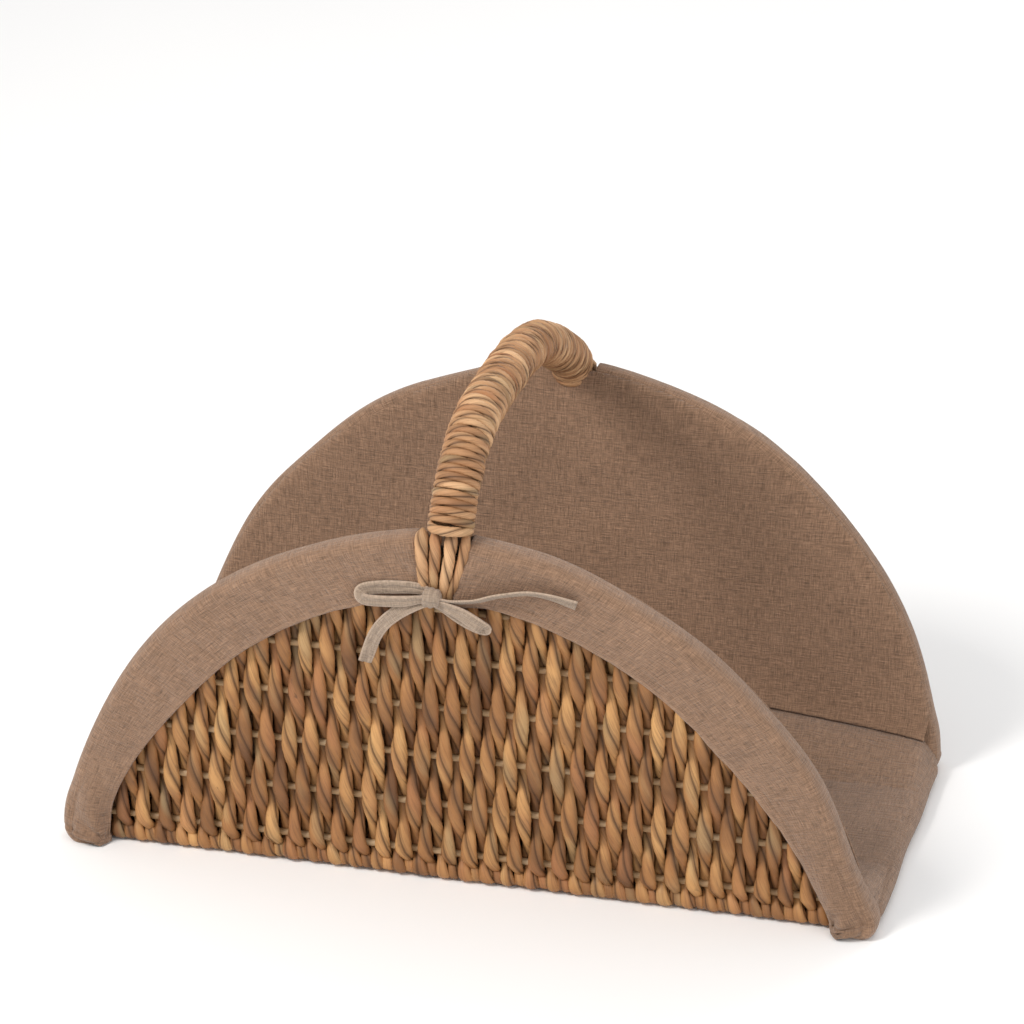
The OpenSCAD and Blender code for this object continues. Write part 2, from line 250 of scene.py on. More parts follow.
# --------------------
# Woven strands: dried water-hyacinth stalks, two twisted together into each strand. A
# strand starts at the front hoop, runs down the front wall over and under the rods, turns
# round the sill, crosses under the base and climbs the back wall. Neighbours alternate.
# --------------------
WALL_LEAN = math.radians(6.7)
WALL_HEIGHT = 0.288
HALF_LENGTH = 0.300
BASE_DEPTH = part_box("base_weave")[1][1] + 0.002  # the liner lies 2 mm outside the weave
CROWN_RADIUS = 0.238
SHOULDER = math.radians(18.5)
WALL_HALF = 0.0095
WEAVE_THICKNESS = 0.015
ROD_SPACING = 0.041
FIRST_ROD = 0.022

foot_y = BASE_DEPTH - WALL_HALF / math.cos(WALL_LEAN)
sill_z = WEAVE_THICKNESS / 2
sill_y = foot_y + sill_z * math.tan(WALL_LEAN)
crown_s = WALL_HEIGHT - CROWN_RADIUS
flank_extra = (HALF_LENGTH**2 + crown_s**2 - CROWN_RADIUS**2) / (
    2 * (CROWN_RADIUS - HALF_LENGTH * math.sin(SHOULDER) + crown_s * math.cos(SHOULDER))
)
FLANK_RADIUS = CROWN_RADIUS + flank_extra
flank_x = -flank_extra * math.sin(SHOULDER)
flank_s = crown_s - flank_extra * math.cos(SHOULDER)

STRAND_PITCH = ROD_SPACING / 5
STRANDS = 71
PLY_LEAD = 0.078  # length in which the two plies turn once
FLOAT_HALF_WIDTH = 0.0061
FLOAT_HALF_HEIGHT = 0.0040
SWING = 0.0046  # how far a strand stands off the middle of the weave where it passes a rod
SILL_BULGE = 0.0084
SILL_BULGE_REACH = 0.42


def on_wall(x, s, n):
    """Places points given in the front wall's axes: up the slant by s, outwards by n."""
    y = -(foot_y + s * math.sin(WALL_LEAN) + n * math.cos(WALL_LEAN))
    z = s * math.cos(WALL_LEAN) - n * math.sin(WALL_LEAN)
    return np.stack(np.broadcast_arrays(x, y, z), axis=-1)


def turned_to_back(points):
    """The same points on the back wall: half a turn about the vertical."""
    return points * np.array([-1.0, -1.0, 1.0])


def outline_height(x, inset):
    """Slant height of the half-moon outline above x, inset from the rim, on its crown or its flank."""
    across = np.abs(x)
    crown = crown_s + np.sqrt(np.maximum((CROWN_RADIUS - inset) ** 2 - across**2, 0.0))
    flank = flank_s + np.sqrt(np.maximum((FLANK_RADIUS - inset) ** 2 - (across - flank_x) ** 2, 0.0))
    return np.where(across < (CROWN_RADIUS - inset) * math.sin(SHOULDER), crown, flank)


def hermite(start, start_speed, end, end_speed, t):
    """Cubic from start to end with the given speeds at each."""
    t = np.asarray(t)[..., None]
    return (
        (2 * t**3 - 3 * t**2 + 1) * start + (t**3 - 2 * t**2 + t) * start_speed
        + (3 * t**2 - 2 * t**3) * end + (t**3 - t**2) * end_speed
    )


def strand_line(crossing):
    """Middle line of the weave in the plane (y, z), and its outward normal, by crossing number.

    Crossing 0 is the lowest rod of the front wall, 1 the next one up; -1 is the sill and -2 the
    first rod of the base, from where the line runs level to the middle of the base.
    """
    up = np.array([-math.sin(WALL_LEAN), math.cos(WALL_LEAN)])
    inwards = np.array([1.0, 0.0])
    rod_0 = np.array([-foot_y, 0.0]) + FIRST_ROD * up
    sill = np.array([-sill_y, sill_z])
    first_base_rod = np.array([-2 * ROD_SPACING, sill_z])
    round_sill = (inwards - up) * 0.010
    table = np.linspace(-4.5, 7.0, 2301)
    wall = rod_0 + np.maximum(table, 0.0)[:, None] * ROD_SPACING * up
    corner = hermite(sill, -round_sill, rod_0, up * 0.014, np.clip(table + 1, 0, 1))
    under = hermite(first_base_rod, -inwards * 0.045, sill, -round_sill * 1.6, np.clip(table + 2, 0, 1))
    base = first_base_rod - np.minimum(table + 2, 0.0)[:, None] * ROD_SPACING * inwards
    line = np.where(
        (table >= 0)[:, None], wall,
        np.where((table >= -1)[:, None], corner, np.where((table >= -2)[:, None], under, base)),
    )
    slope = np.gradient(line, axis=0)
    slope /= np.linalg.norm(slope, axis=1, keepdims=True)
    travel = np.concatenate([[0.0], np.cumsum(np.linalg.norm(np.diff(line, axis=0), axis=1))])
    columns = (line[:, 0], line[:, 1], slope[:, 0], slope[:, 1], travel)
    y, z, slope_y, slope_z, run = (np.interp(crossing, table, column) for column in columns)
    return y, z, -slope_z, slope_y, run


def drift(seed, rows, place, size):
    """Smooth seeded wandering: each row has its own random values at whole places, joined by cosines."""
    values = np.random.default_rng(seed).uniform(-1.0, 1.0, (rows, 64))
    low = np.floor(place).astype(int)
    part = (1 - np.cos(np.pi * (place - low))) / 2
    row = np.arange(rows)[:, None]
    return size * (values[row, low % 64] * (1 - part) + values[row, (low + 1) % 64] * part)


PLY_ANGLES = np.radians([0.0, 13.0, 38.0, 70.0, 110.0, 142.0, 167.0])
PLY_ANGLES = np.concatenate([PLY_ANGLES, PLY_ANGLES + np.pi])
PLY_RADIUS = 0.005
STRAND_OFFSET = 1.7  # how far apart two strands lie in their material's own space


def twisted(path, outward, half_width, half_height, turn, groove=0.30):
    """Two-ply strands. Round each point of a path the section is an ellipse, half_height outwards and
    half_width sideways, with a groove on each side between the plies; the grooves follow turn."""
    along = np.gradient(path, axis=1)
    along /= np.linalg.norm(along, axis=-1, keepdims=True)
    sideways = np.cross(along, outward)
    sideways /= np.linalg.norm(sideways, axis=-1, keepdims=True)
    standing = np.cross(sideways, along)
    angle = PLY_ANGLES + turn[..., None]
    depth = 1 - groove * (1 - np.abs(np.sin(PLY_ANGLES))) ** 3
    return (
        path[:, :, None]
        + standing[:, :, None] * (half_height[..., None] * np.sin(angle) * depth)[..., None]
        + sideways[:, :, None] * (half_width[..., None] * np.cos(angle) * depth)[..., None]
    )


FLAT_UNDER = 0.004  # a strand's underside is flattened below this height
FLAT_DEPTH = 0.0038


def rested(points):
    """Points with the heights under FLAT_UNDER squeezed above the floor, as a strand's underside
    flattens there: a depth below it becomes FLAT_DEPTH times one less a falling exponential."""
    depth = np.maximum(FLAT_UNDER - points[..., 2], 0.0)
    squeezed = FLAT_DEPTH * (1 - np.exp(-depth / FLAT_DEPTH))
    return np.concatenate([points[..., :2], (points[..., 2] + depth - squeezed)[..., None]], axis=-1)


def strand_piece(name, rings, run, tone, finish):
    """Mesh of strands given as strands x rings x sides x 3, each a closed tube with capped ends.

    Its point attributes are "ply", a place in the strand's own round space, "crease", 1 in the
    grooves, where the finish darkens them with painted shade, and "tone", each strand's own shade.
    """
    rings = rested(rings)
    strands, count, sides = rings.shape[:3]
    index = np.arange(strands * count * sides).reshape(strands, count, sides)
    following = np.roll(index, -1, axis=2)
    walls = np.stack([index[:, :-1], following[:, :-1], following[:, 1:], index[:, 1:]], axis=-1)
    walls = walls.reshape(-1, 4)
    caps = np.concatenate([index[:, 0, ::-1], index[:, -1]])
    mesh = bpy.data.meshes.new(name)
    mesh.from_pydata(rings.reshape(-1, 3).tolist(), [], walls.tolist() + caps.tolist())
    ply = np.empty((strands, count, sides, 3))
    ply[..., 0] = np.cos(PLY_ANGLES) * PLY_RADIUS
    ply[..., 1] = np.sin(PLY_ANGLES) * PLY_RADIUS
    ply[..., 2] = (run + np.arange(strands)[:, None] * STRAND_OFFSET)[..., None]
    mesh.attributes.new("ply", "FLOAT_VECTOR", "POINT").data.foreach_set("vector", ply.ravel())
    crease = np.broadcast_to((1 - np.abs(np.sin(PLY_ANGLES))) ** 3, (strands, count, sides))
    mesh.attributes.new("crease", "FLOAT", "POINT").data.foreach_set("value", crease.ravel())
    shade = np.broadcast_to(tone[..., None], (strands, count, sides))
    mesh.attributes.new("tone", "FLOAT", "POINT").data.foreach_set("value", shade.ravel())
    mesh.shade_smooth()
    mesh.materials.append(finish.material)
    piece = bpy.data.objects.new(name, mesh)
    bpy.context.scene.collection.objects.link(piece)
    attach(piece, "root")
    return piece


RED_BROWN = (0.40, 0.17, 0.07, 1.0)
OLIVE = (0.36, 0.27, 0.14, 1.0)
FIBRE_BROWN = (0.15, 0.07, 0.028, 1.0)
FLECK_BROWN = (0.07, 0.035, 0.018, 1.0)
# Painted shade: a deep brown laid into the grooves between the plies, where shade falls.
GROOVE_PAINTED_SHADE = (0.06, 0.026, 0.011, 1.0)


def grey(value):
    """Colour whose three parts are the same."""
    return (value, value, value)


def stalk_finish(name, dull, middle, bright):
    """Dried stalk: three shades by strand and stretch, long fibres along each ply, and painted shade
    darkening the grooves between the plies.
    """
    finish = Finish(name)
    ply = finish.node("ShaderNodeAttribute", {"attribute_name": "ply"}, {})["Vector"]
    crease = finish.node("ShaderNodeAttribute", {"attribute_name": "crease"}, {})["Fac"]
    tone = finish.node("ShaderNodeAttribute", {"attribute_name": "tone"}, {})["Fac"]
    stain = finish.noise(finish.stretched(ply, (60.0, 60.0, 22.0)), 1.0, detail=3.0)
    hue = finish.noise(finish.stretched(ply, (45.0, 45.0, 14.0)), 1.0, detail=1.0)
    fibre = finish.noise(finish.stretched(ply, (620.0, 620.0, 38.0)), 1.0, detail=4.0, roughness=0.6)
    fleck = finish.noise(finish.stretched(ply, (260.0, 260.0, 120.0)), 1.0, detail=4.0)
    shade = tone * 0.55 + stain * 0.75 - 0.15
    colour = finish.ramp(shade, [(0.22, dull), (0.5, middle), (0.8, bright)])
    red_parts = finish.ramp(hue, [(0.54, grey(0)), (0.68, grey(0.6))])
    green_parts = finish.ramp(hue, [(0.30, grey(0.5)), (0.42, grey(0))])
    dark_fibres = finish.ramp(fibre, [(0.30, grey(0.55)), (0.52, grey(0))])
    dark_flecks = finish.ramp(fleck, [(0.66, grey(0)), (0.78, grey(0.6))])
    reddened = finish.mixed(red_parts, colour, RED_BROWN)
    greened = finish.mixed(green_parts, reddened, OLIVE)
    streaked = finish.mixed(dark_fibres, greened, FIBRE_BROWN)
    flecked = finish.mixed(dark_flecks, streaked, FLECK_BROWN)
    # Painted shade: the grooves between the plies are darkened towards the groove colour, standing in for
    # the shade in them.
    groove_shaded = finish.mixed(crease * 0.85, flecked, GROOVE_PAINTED_SHADE)
    finish.surface(
        Base_Color=groove_shaded,
        Roughness=0.42 + 0.25 * fibre,
        Normal=finish.bump(fibre * 0.7 + stain * 0.3 - crease * 0.5, 0.0009),
        Specular_IOR_Level=0.35,
    )
    return finish


strand_finish = stalk_finish(
    "twisted_hyacinth", (0.155, 0.067, 0.025), (0.355, 0.163, 0.057), (0.62, 0.34, 0.13))
strand_x = (np.arange(STRANDS) - (STRANDS - 1) / 2) * STRAND_PITCH
strand_parity = np.arange(STRANDS) % 2
strand_tone = np.random.default_rng(5).uniform(0.0, 1.0, STRANDS)


def woven_strands(crossing, seed, whole_base):
    """Strands between crossing numbers. Their swing off the middle line is a cosine of the crossing, and
    they are widest over a rod and pressed narrow between their neighbours. At the sill the inner ones
    bulge out by a bell curve, so that all of them show there."""
    if whole_base:
        y_low, z_low, ny, nz, run = strand_line(-4 + np.abs(crossing))
        y = np.where(crossing < 0, y_low, -y_low)
        ny = np.where(crossing < 0, ny, -ny)
        phase = 4 + np.abs(crossing)
        z = z_low
    else:
        y, z, ny, nz, run = strand_line(crossing)
        phase = crossing
    rows = len(strand_x)
    swing = np.cos(np.pi * (phase + strand_parity[:, None]))
    stand_off = SWING * np.sign(swing) * np.abs(swing) ** 0.8 + drift(seed, rows, phase * 1.3 + 20, 0.0004)
    if whole_base:
        stand_off = stand_off * 0.8
    else:
        at_sill = np.exp(-(((crossing + 1) / SILL_BULGE_REACH) ** 2))
        stand_off = stand_off + at_sill * (swing < 0) * SILL_BULGE * np.abs(swing)
    x = strand_x[:, None] + drift(seed + 1, rows, phase * 0.9 + 20, 0.0009)
    path = np.stack([x, y + ny * stand_off, z + nz * stand_off], axis=-1)
    outward = np.stack([np.zeros_like(x), ny, nz], axis=-1)
    fullness = (0.5 + 0.5 * np.abs(swing)) ** 1.2
    vary = 1 + drift(seed + 2, rows, phase + 20.5, 0.10)
    half_width = FLOAT_HALF_WIDTH * (0.60 + 0.40 * fullness**2) * vary
    half_height = FLOAT_HALF_HEIGHT * (0.80 + 0.20 * fullness) * vary
    turn = 2 * np.pi * run / PLY_LEAD + drift(seed + 3, rows, phase * 0.5 + 20, 0.9)
    turn = turn + np.random.default_rng(seed + 4).uniform(0, np.pi, rows)[:, None]
    tone = np.clip(strand_tone[:, None] * 0.5 + 0.25 + drift(seed + 5, rows, phase * 0.55 + 20, 0.35), 0, 1)
    return path, outward, half_width, half_height, turn, run, tone


WALL_SHIFT = -0.0045  # seen from its own side, each half-moon wall stands a little to the left
SLIT_X = -0.007
SLIT_HALF = 0.021
HANDLE_ROOT = 0.030  # how far below the rim the strands at the handle's foot stop


def wall_weave(name, node, seed):
    """All strands of one wall, from the hoop down round the sill. They stop below the handle's foot."""
    top = (outline_height(strand_x, 0.006) - FIRST_ROD) / ROD_SPACING
    under_handle = np.abs(strand_x - SLIT_X) < SLIT_HALF
    below_handle = (WALL_HEIGHT - HANDLE_ROOT - FIRST_ROD) / ROD_SPACING
    top = np.where(under_handle, np.minimum(top, below_handle), top)
    crossing = -1.6 + (top[:, None] + 1.6) * np.linspace(0, 1, 84)
    path, outward, half_width, half_height, turn, run, tone = woven_strands(crossing, seed, False)
    end = np.clip((top[:, None] - crossing) / 0.12, 0.05, 1) ** 0.5
    rings = twisted(path, outward, half_width * end, half_height * end, turn)
    rings[..., 0] += WALL_SHIFT * np.clip(crossing + 1, 0, 1)[..., None]
    if node == "back_wall_weave":
        rings = turned_to_back(rings)
    piece = strand_piece(name, rings, run, tone, strand_finish)
    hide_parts(node)


wall_weave("front_strands", "front_wall_weave", 11)
wall_weave("back_strands", "back_wall_weave", 31)


# --------------------
# Base weave: the middle of the same strands, over and under the base's rods. The ends of
# the base, where the linen is turned under, are left to the linen.
# --------------------
base_crossing = np.broadcast_to(np.linspace(-2.35, 2.35, 61), (STRANDS, 61))
path, outward, half_width, half_height, turn, run, tone = woven_strands(base_crossing, 51, True)
base_strands = strand_piece(
    "base_strands", twisted(path, outward, half_width, half_height, turn), run, tone, strand_finish)
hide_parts("base_weave")

# --------------------
# Handle wrap: a two-ply cord of the same stalk, wound closely round a padded wire arch
# from rim to rim. It covers the padding.
# --------------------
HANDLE_RADIUS = 0.0165
CORD_HALF_WIDTH = 0.0034
CORD_HALF_HEIGHT = 0.0027
CORD_PITCH = 0.0054
SAMPLES_PER_TURN = 30
# Stops along the centreline, x, y and z in millimetres, from the front foot to the back one.
HANDLE_STOPS = (
    (-0.8, -164, 292), (-0.8, -161.5, 299), (-0.3, -151, 316.5), (0.5, -133, 335.5), (1.5, -112, 348.5),
    (2.5, -84, 355), (3, -44, 356.5), (4, 5.5, 356), (5, 52, 347.5), (5.3, 87, 332.5), (5.7, 118, 316),
    (6, 141, 302.5), (5.5, 154, 293), (5, 160.5, 285),
)


def smooth_route(stops, samples):
    """Curve through stops, each a row of numbers: a Catmull-Rom spline evaluated at even parameters."""
    stops = np.array(stops, dtype=float)
    padded = np.concatenate([2 * stops[:1] - stops[1:2], stops, 2 * stops[-1:] - stops[-2:-1]])
    place = np.linspace(0, len(stops) - 1, samples)
    low = np.minimum(place.astype(int), len(stops) - 2)
    t = (place - low)[:, None]
    a, b, c, d = (padded[low + i] for i in range(4))
    return 0.5 * (2 * b + (c - a) * t + (2 * a - 5 * b + 4 * c - d) * t**2 + (3 * b - a - 3 * c + d) * t**3)


def handle_line(share):
    """Point of the handle's centreline by its share of the way along it, and its outward normal there."""
    route = smooth_route(HANDLE_STOPS, 400) / 1000
    length = np.concatenate([[0.0], np.cumsum(np.linalg.norm(np.diff(route, axis=0), axis=1))])
    tangent = np.gradient(route, length, axis=0)
    tangent = tangent / np.linalg.norm(tangent, axis=1, keepdims=True)
    place = share * length[-1]
    middle = np.stack([np.interp(place, length, route[:, axis]) for axis in range(3)], axis=-1)
    ahead = np.stack([np.interp(place, length, tangent[:, axis]) for axis in range(3)], axis=-1)
    sideways = np.cross(ahead, np.cross([1.0, 0.0, 0.0], ahead))
    sideways = sideways / np.linalg.norm(sideways, axis=1, keepdims=True)
    return middle, sideways, np.cross(sideways, ahead), length[-1]


handle_length = handle_line(np.zeros(1))[3]
turns = int(round(handle_length / CORD_PITCH))
wind = np.linspace(0, turns, turns * SAMPLES_PER_TURN + 1)
share = wind / turns
around = 2 * math.pi * wind
middle, sideways, upward = handle_line(share)[:3]
swell = drift(62, 1, wind[None, :] * 2.3, 0.0005)[0]
ring_radius = HANDLE_RADIUS - CORD_HALF_HEIGHT + swell
outward = sideways * np.cos(around)[:, None] + upward * np.sin(around)[:, None]
cord = middle + outward * ring_radius[:, None]
cord_run = wind * 2 * math.pi * HANDLE_RADIUS
cord_width = CORD_HALF_WIDTH * (1 + drift(63, 1, wind[None, :] * 3.1, 0.12)[0])
cord_height = CORD_HALF_HEIGHT * (1 + drift(64, 1, wind[None, :] * 2.7, 0.10)[0])
cord_turn = 2 * math.pi * cord_run / 0.062 + drift(65, 1, wind[None, :] * 1.7, 1.2)[0]
cord_tone = np.clip(0.55 + drift(66, 1, wind[None, :] * 1.9, 0.4)[0], 0, 1)

cord_finish = stalk_finish("wrapping_cord", (0.27, 0.13, 0.058), (0.475, 0.25, 0.118), (0.72, 0.44, 0.235))
handle_cord = strand_piece(
    "handle_cord",
    twisted(cord[None], outward[None], cord_width[None], cord_height[None], cord_turn[None], groove=0.34),
    cord_run[None], cord_tone[None], cord_finish,
)
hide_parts("handle_wrap", "handle_padding")

# --------------------
# Foot strands: at each foot of the handle four thick twisted strands come out from under
# the wrap, run down through the slit of the cuff and draw together behind the knot.
# --------------------
BACK_FOOT_SHIFT = np.array([0.0035, 0.0, 0.0])
foot_top_x = np.array([-0.0205, -0.0105, 0.0008, 0.0110])
foot_end_x = np.array([-0.0195, -0.0145, -0.0085, -0.0035])
foot_half = np.array([0.0052, 0.0047, 0.0050, 0.0042])
foot_t = np.linspace(0, 1, 40)
foot_s = WALL_HEIGHT + 0.006 - foot_t * 0.055
foot_x = foot_end_x[:, None] + (foot_top_x - foot_end_x)[:, None] * np.cos(foot_t * math.pi / 2) ** 1.2
foot_bow = np.sin(np.clip(foot_t * 1.25, 0, 1) * math.pi) * np.array([0.0016, 0.0006, 0.0012, 0.0])[:, None]
foot_n = 0.0078 + 0.0014 * np.sin(foot_t * math.pi) + foot_bow - 0.004 * np.clip(1 - foot_t * 6, 0, 1) ** 2
foot_path = on_wall(foot_x, foot_s, foot_n)
foot_out = np.broadcast_to(on_wall(0.0, 0.0, 1.0) - on_wall(0.0, 0.0, 0.0), foot_path.shape)
foot_end = np.sqrt(np.clip(1 - (1 - np.clip(foot_t / 0.12, 0.02, 1)) ** 2, 0.05, 1))
foot_width = foot_half[:, None] * foot_end * (1 - 0.25 * foot_t)
foot_run = np.broadcast_to(foot_t * 0.052, foot_x.shape)
foot_turn = 2 * math.pi * foot_run / 0.046 + np.array([0.4, 2.0, 1.2, 2.7])[:, None]
foot_tone = np.broadcast_to(np.array([0.75, 0.6, 0.9, 0.5])[:, None], foot_x.shape)
foot_rings = twisted(foot_path, foot_out, foot_width, foot_width * 0.95, foot_turn)
for name, turned in (("front_foot_strands", False), ("back_foot_strands", True)):
    piece = strand_piece(
        name.replace("foot_strands", "foot"),
        turned_to_back(foot_rings) - BACK_FOOT_SHIFT if turned else foot_rings,
        foot_run, foot_tone, cord_finish,
    )
    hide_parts(name)

# --------------------
# Linen: one washed, slubby cloth for the liner and its cuffs. The warp and weft are a fine
# net in each piece's own u and v, in metres, with thick yarns here and there.
# --------------------


def linen_finish(name, shade, thread=0.0007):
    """Plain-weave linen of that colour, with a thread spacing, slubs both ways and a cloudy wash."""
    finish = Finish(name)
    cloth = finish.node("ShaderNodeAttribute", {"attribute_name": "cloth"}, {})["Vector"]
    fade = finish.node("ShaderNodeAttribute", {"attribute_name": "fade"}, {})["Fac"]
    warp = finish.noise(finish.stretched(cloth, (1 / thread, 110.0, 1.0)), 1.0, detail=2.0, roughness=0.6)
    weft = finish.noise(finish.stretched(cloth, (110.0, 1 / thread, 1.0)), 1.0, detail=2.0, roughness=0.6)
    slub_warp = finish.noise(finish.stretched(cloth, (520.0, 26.0, 1.0)), 1.0, detail=1.0)
    slub_weft = finish.noise(finish.stretched(cloth, (26.0, 520.0, 1.0)), 1.0, detail=1.0)
    fleck = finish.noise(finish.stretched(cloth, (150.0, 330.0, 1.0)), 1.0, detail=1.0)
    cloud = finish.noise(cloth, 16.0, detail=3.0)
    nap = finish.noise(cloth, 2600.0, detail=1.0)
    net = warp + weft
    light = tuple(min(1.0, part * 1.5) for part in shade)
    dark = tuple(part * 0.55 for part in shade)
    colour = finish.ramp(net * 0.5, [(0.34, dark), (0.5, shade), (0.66, light)])
    streaks = finish.ramp(slub_warp * 0.5 + slub_weft * 0.5, [(0.38, (0.72, 0.70, 0.68)), (0.5, grey(1))])
    clouds = finish.ramp(cloud, [(0.3, (0.80, 0.79, 0.78)), (0.7, grey(1))])
    dark_flecks = finish.ramp(fleck, [(0.80, grey(0)), (0.86, grey(0.8))])
    streaked = finish.mixed(0.5, colour, streaks, "MULTIPLY")
    clouded = finish.mixed(0.55, streaked, clouds, "MULTIPLY")
    flecked = finish.mixed(dark_flecks, clouded, (0.05, 0.03, 0.02, 1.0))
    faded = finish.mixed(fade, flecked, (*light, 1.0))
    finish.surface(
        Base_Color=faded,
        Roughness=0.9,
        Normal=finish.bump(net + slub_warp + slub_weft + nap * 0.4, 0.0011, 0.8),
        Specular_IOR_Level=0.12,
        Sheen_Weight=0.25,
        Sheen_Roughness=0.5,
    )
    return finish


linen = linen_finish("washed_linen", (0.298, 0.180, 0.113))


def cloth_piece(name, points, u, v, finish, fade=0.0, thick=0.0012, close=False):
    """Sheet of cloth from a grid of points, with u and v in metres for its threads. A Solidify
    modifier gives it its thickness, to both sides of the grid."""
    rows, columns = points.shape[:2]
    index = np.arange(rows * columns).reshape(rows, columns)
    if close:
        index = np.concatenate([index, index[:, :1]], axis=1)
    faces = np.stack([index[:-1, :-1], index[:-1, 1:], index[1:, 1:], index[1:, :-1]], axis=-1)
    faces = faces.reshape(-1, 4)
    mesh = bpy.data.meshes.new(name)
    mesh.from_pydata(points.reshape(-1, 3).tolist(), [], faces.tolist())
    cloth = np.zeros((rows, columns, 3))
    cloth[..., 0], cloth[..., 1] = np.broadcast_arrays(u, v)
    mesh.attributes.new("cloth", "FLOAT_VECTOR", "POINT").data.foreach_set("vector", cloth.ravel())
    fades = np.broadcast_to(fade, (rows, columns)).astype(float)
    mesh.attributes.new("fade", "FLOAT", "POINT").data.foreach_set("value", fades.ravel())
    mesh.shade_smooth()
    mesh.materials.append(finish.material)
    piece = bpy.data.objects.new(name, mesh)
    bpy.context.scene.collection.objects.link(piece)
    thickness = piece.modifiers.new("thickness", "SOLIDIFY")
    thickness.thickness = thick
    thickness.offset = 0.0
    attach(piece, "root")
    return piece


def ripples(a, b, seed, scale, size):
    """Soft irregular waves over a surface with coordinates a and b: a few seeded sines added up."""
    draw = np.random.default_rng(seed)
    total = np.zeros(np.broadcast(a, b).shape)
    for _ in range(7):
        heading = draw.uniform(0, 2 * math.pi)
        wave = draw.uniform(0.6, 1.7) * 2 * math.pi / scale
        ahead = a * math.cos(heading) + b * math.sin(heading)
        total = total + np.sin(ahead * wave + draw.uniform(0, 2 * math.pi))
    return total * size / 7**0.5


def eased(value, low, high):
    """Smooth step from 0 at low to 1 at high."""
    t = np.clip((value - low) / (high - low), 0, 1)
    return t * t * (3 - 2 * t)


# --------------------
# Wall linings: each half-moon panel stands on the crease at the foot of its wall, swells a
# little over it, and runs flat up the weave to the rim, where the cuffs take over.
# --------------------
CREASE_HEIGHT = 0.045
CREASE_END = 0.026
LINING_N = -0.0095


def crease_height(x):
    """Slant height of the crease between wall and base lining: high in the middle, low at the ends."""
    return CREASE_END + (CREASE_HEIGHT - CREASE_END) * (1 - (np.abs(x) / HALF_LENGTH) ** 2.2)


RIM_ROUND = 0.0085


def rim_inset(x, s):
    """Distance in from the half-moon outline, across its crown or its flank."""
    across = np.abs(x)
    crown = CROWN_RADIUS - np.hypot(across, s - crown_s)
    flank = FLANK_RADIUS - np.hypot(across - flank_x, s - flank_s)
    return np.where(np.arctan2(across, s - crown_s) < SHOULDER, crown, flank)


def fuller(x, s):
    """The back wall's cloth stands a little outside its hoop over the top and is drawn in at the foot."""
    alpha = np.arctan2(np.abs(x) - flank_x, s - flank_s)
    near = (1 - np.clip(rim_inset(x, s) / 0.030, 0, 1)) ** 2
    out = near * (0.0042 - 0.0075 * eased(alpha, math.radians(48), math.radians(78)))
    return x + np.sign(x) * np.sin(alpha) * out, s + np.cos(alpha) * out


LINING_COLUMNS = 181
LINING_ROWS = 70
lining_x = -0.2885 * np.cos(np.linspace(0, math.pi, LINING_COLUMNS))
lining_top = outline_height(lining_x, 0.0024)
lining_foot = np.minimum(crease_height(lining_x), lining_top - 0.002)
lining_t = np.linspace(0, 1, LINING_ROWS)[:, None] ** 1.3
lining_s = lining_foot + (lining_top - lining_foot) * lining_t
above_crease = lining_s - lining_foot
swell = 0.0052 * np.exp(-above_crease / 0.013) * np.clip(above_crease / 0.0015, 0.0, 1)
slack = ripples(lining_x, lining_s, 71, 0.19, 0.0008) * eased(above_crease, 0.0, 0.03)
slack = slack * eased(lining_top - lining_s, 0.0, 0.03)
rim_share = np.clip((RIM_ROUND - rim_inset(lining_x, lining_s)) / RIM_ROUND, 0, 1)
lining_n = (LINING_N - swell - np.abs(slack)) * (1 - rim_share**2.6) ** (1 / 2.6)
for name, turned in (("liner_front_panel", False), ("liner_back_panel", True)):
    x, s = fuller(lining_x, lining_s) if turned else (lining_x, lining_s)
    points = on_wall(x + WALL_SHIFT * eased(s, 0.01, 0.05), s, lining_n)
    points = turned_to_back(points) if turned else points
    piece = cloth_piece(name.replace("panel", "lining"), points, lining_x + 0.31, lining_s, linen)
    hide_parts(name)

# --------------------
# Base lining: lies flat on the base weave, rises in soft puckers at both walls, is tucked
# behind the foot of the wall linings and bends down over the base's ends.
# --------------------
BASE_TOP = 0.0172
BASE_HALF = 0.2985
END_BEND = 0.2855  # the sheet bends down from here to its end
END_DROP = 0.0060
base_x = np.linspace(-BASE_HALF, BASE_HALF, 241)[None, :]
base_v = np.linspace(-1, 1, 121)[:, None]
crease_s = crease_height(base_x) + 0.0006
crease_y = foot_y + crease_s * math.sin(WALL_LEAN) + (LINING_N + 0.0006) * math.cos(WALL_LEAN)
crease_z = crease_s * math.cos(WALL_LEAN)
base_y = base_v * crease_y
from_crease = crease_y - np.abs(base_y)
rise = (1 - eased(from_crease, 0.0, 0.064)) ** 0.8
base_z = BASE_TOP + (crease_z - BASE_TOP) * rise
pucker_zone = np.sin(np.clip(from_crease / 0.066, 0, 1) * math.pi)
pucker = drift(81, 1, base_x / 0.0095 + 32, 0.0010) + ripples(base_x, base_y, 82, 0.045, 0.0004)
pucker_zone = pucker_zone * eased(base_x, -0.29, -0.25) * eased(-base_x, -0.295, -0.27)
base_z = base_z + np.maximum(pucker, -0.0003) * pucker_zone
base_z = base_z + np.maximum(ripples(base_x, base_y, 83, 0.11, 0.0006), 0.0)
fold_line = np.exp(-(((from_crease - 0.063) / 0.0022) ** 2))
base_z = base_z - 0.0007 * fold_line * (base_z > BASE_TOP + 0.0002)
over_edge = np.clip((np.abs(base_x) - END_BEND) / (BASE_HALF - END_BEND), 0, 1)
base_z = base_z - (base_z - BASE_TOP) * over_edge**1.5 - END_DROP * over_edge**2.5
base_points = np.stack(np.broadcast_arrays(base_x, base_y, base_z), axis=-1)
base_lining = cloth_piece("liner_base_lining", base_points, base_x + 0.31, base_y, linen)
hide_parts("liner_base_panel")

